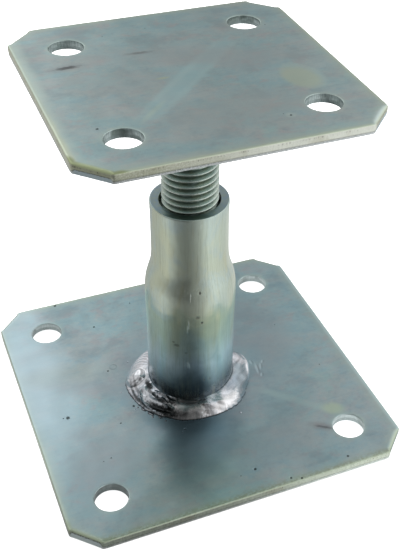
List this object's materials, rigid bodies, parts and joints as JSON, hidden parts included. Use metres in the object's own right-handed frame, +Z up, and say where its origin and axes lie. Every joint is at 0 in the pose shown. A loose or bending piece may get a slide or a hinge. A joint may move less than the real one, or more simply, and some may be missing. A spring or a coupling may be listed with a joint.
{
  "type": "height-adjustable timber post base",
  "caption": "Adjustable post base: square foot plate with a welded, swaged tube and a threaded rod that carries a smaller square plate for the post.",
  "frame": {"origin": "centre of the base plate's underside", "axes": "+Z up along the tube and rod; X and Y along the sides of the two square plates"},
  "size_m": [0.15, 0.15, 0.161],
  "materials": {
    "zinc_plate": "blue-grey zinc plating, mottled, satin",
    "zinc_tube": "zinc plating over drawn tube, fine vertical draw lines, satin",
    "zinc_thread": "zinc-plated rolled thread, semi-gloss",
    "weld_bead": "bright irregular arc weld with burnt patches"
  },
  "bodies": {
    "base": {"base_plate": "zinc_plate", "tube": "zinc_tube", "base_weld": "weld_bead"},
    "screw_lift": {"top_weld": "weld_bead"},
    "head": {"threaded_rod": "zinc_thread", "top_plate": "zinc_plate"}
  },
  "joints": [
    {"name": "height_slide", "type": "slide", "parent": "base", "child": "screw_lift", "axis": [0, 0, 1], "range_m": [-0.0455, 0.0185]},
    {"name": "rod_screw", "type": "hinge", "parent": "screw_lift", "child": "head", "pos_m": [0, 0, 0.104], "axis": [0, 0, 1], "range_deg": [-5400, 2160]}
  ],
  "couplings": [
    {"joint": "height_slide", "follows": "rod_screw", "m_per_rad": 0.00047746}
  ]
}
